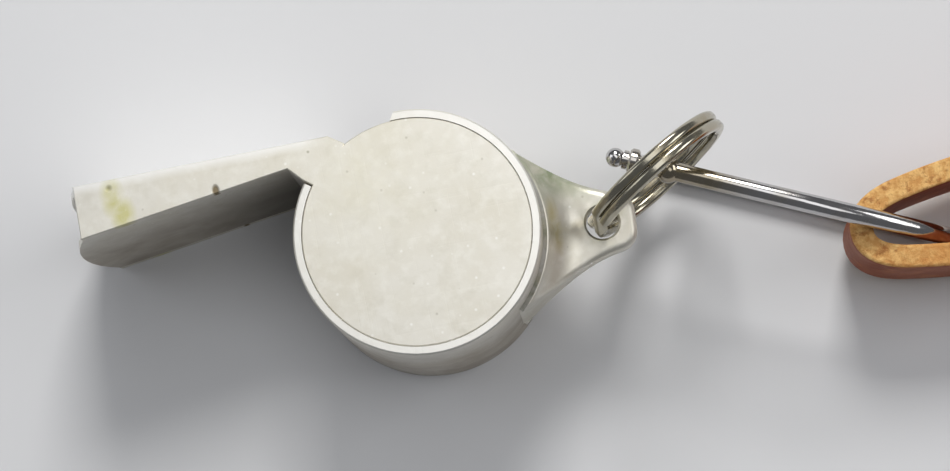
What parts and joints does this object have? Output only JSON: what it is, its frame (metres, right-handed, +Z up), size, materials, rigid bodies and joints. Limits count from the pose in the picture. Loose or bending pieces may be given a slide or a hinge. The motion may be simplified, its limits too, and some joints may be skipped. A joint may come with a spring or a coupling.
{
  "type": "training whistle",
  "caption": "Metal pea whistle lying on its side, with a lanyard lug, split ring, wire screw clip and leather lanyard.",
  "frame": {"origin": "on the barrel's axis, at the outer face of the side plate that the whistle lies on", "axes": "+Z up along the barrel's axis, -X out along the mouthpiece, +X towards the lanyard lug, +Y towards the mouthpiece roof and the air slot"},
  "size_m": [0.1576, 0.0789, 0.0186],
  "materials": {
    "whistle_plate": "matt nickel plate, lightly worn",
    "whistle_band": "matt nickel plate, duller, with tarnish",
    "whistle_lug": "satin nickel plate with green tarnish",
    "solder": "dull solder",
    "cork": "natural cork",
    "ring_steel": "polished nickel plated steel, slightly yellowed",
    "clip_chrome": "polished",
    "leather": "tan leather, smooth faces and raw edges",
    "rivet_brass": "polished brass"
  },
  "bodies": {
    "whistle": {"side_plate_lower": "whistle_plate", "side_plate_upper": "whistle_plate", "barrel_band": "whistle_band", "mouthpiece_roof": "whistle_plate", "mouthpiece_floor": "whistle_band", "lanyard_lug": "whistle_lug", "lug_solder": "solder"},
    "pea": {"cork_pea": "cork"},
    "ring": {"split_ring": "ring_steel"},
    "clip": {"wire_clip": "clip_chrome"},
    "pin": {"clip_pin": "clip_chrome"},
    "strap": {"strap_run": "leather", "strap_coil": "leather", "rivet_post": "rivet_brass", "rivet_cap": "rivet_brass", "strap_stud": "rivet_brass"}
  },
  "joints": [
    {"name": "pea_orbit", "type": "hinge", "parent": "whistle", "child": "pea", "pos_m": [0, 0, 0.009], "axis": [0, 0, 1], "continuous": true},
    {"name": "ring_swing", "type": "hinge", "parent": "whistle", "child": "ring", "pos_m": [0.01632, -0.00114, 0.009], "axis": [0, 0, 1], "range_deg": [-60, 34]},
    {"name": "clip_swing", "type": "hinge", "parent": "ring", "child": "clip", "pos_m": [0.02189, 0.00203, 0.011], "axis": [0, 0, 1], "range_deg": [-30, 25]},
    {"name": "pin_draw", "type": "slide", "parent": "clip", "child": "pin", "axis": [-0.9063, 0.4226, 0], "range_m": [0, 0.0025]},
    {"name": "strap_swing", "type": "hinge", "parent": "clip", "child": "strap", "pos_m": [0.0405, -0.006, 0.005], "axis": [0, 0, 1], "range_deg": [-15, 2]}
  ]
}
